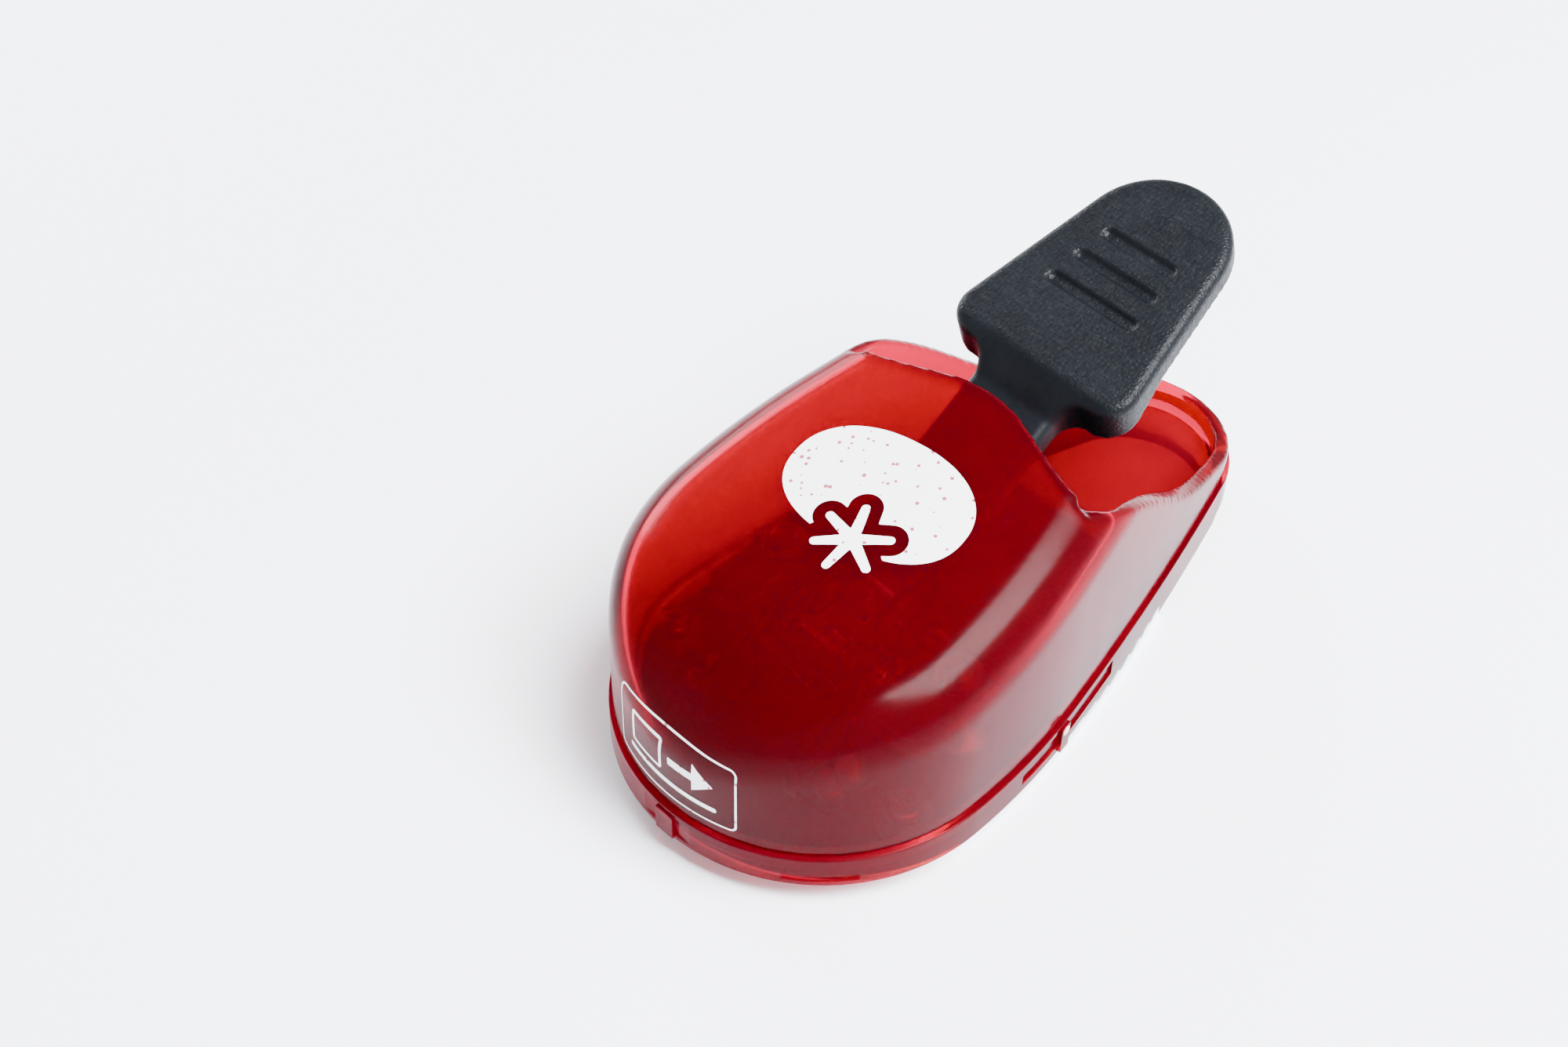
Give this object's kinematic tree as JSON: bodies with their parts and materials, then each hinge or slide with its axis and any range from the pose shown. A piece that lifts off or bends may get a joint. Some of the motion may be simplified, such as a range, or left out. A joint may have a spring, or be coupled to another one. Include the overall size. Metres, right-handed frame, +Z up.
{
  "type": "craft punch",
  "caption": "Hand-pressed craft punch: translucent egg-shaped cover over a steel die set, thumb lever at the rear, paper slot at the front, cuts a fruit with a stalk star.",
  "frame": {"origin": "middle of the footprint on the table", "axes": "+Z up; the paper slot opens towards -Y and the thumb lever points towards +Y; X runs across"},
  "size_m": [0.0616, 0.116, 0.0584],
  "materials": {
    "red_clear": "translucent red moulding, polished",
    "black": "fine leather grain, satin",
    "zinc_steel": "bright plated",
    "tool_steel": "ground",
    "dark_steel": "stamped, oiled",
    "spring": "drawn wire",
    "fastener": "zinc plated"
  },
  "bodies": {
    "housing": {"cover_shell": "red_clear", "base_frame": "red_clear", "die_plate": "zinc_steel", "paper_stop": "dark_steel", "guide_plate": "dark_steel", "frame_screws": "fastener", "die_screws": "fastener", "post_left": "tool_steel", "post_right": "tool_steel", "post_rings": "fastener", "bracket_left": "dark_steel", "bracket_right": "dark_steel", "bracket_screws": "fastener", "pivot_pin": "tool_steel", "pivot_rings": "fastener", "pivot_bushes": "black", "spring_left": "spring", "spring_right": "spring"},
    "punch": {"punch_carrier": "dark_steel", "fruit_punch": "tool_steel", "star_punch": "tool_steel", "punch_screws": "fastener"},
    "lever": {"lever_body": "black", "lever_core": "dark_steel", "core_screws": "fastener", "roller_pin": "tool_steel", "press_roller": "tool_steel"}
  },
  "joints": [
    {"name": "lever_press", "type": "hinge", "parent": "housing", "child": "lever", "pos_m": [0, -0.026, 0.0205], "axis": [-1, 0, 0], "range_deg": [0, 22], "stiffness_Nm_per_rad": 0.09, "springref_deg": -13.18},
    {"name": "punch_slide", "type": "slide", "parent": "housing", "child": "punch", "axis": [0, 0, -1], "range_m": [0, 0.0034], "deforming": ["spring_left", "spring_right"]}
  ],
  "couplings": [
    {"joint": "punch_slide", "follows": "lever_press", "m_per_rad": 0.00872}
  ]
}
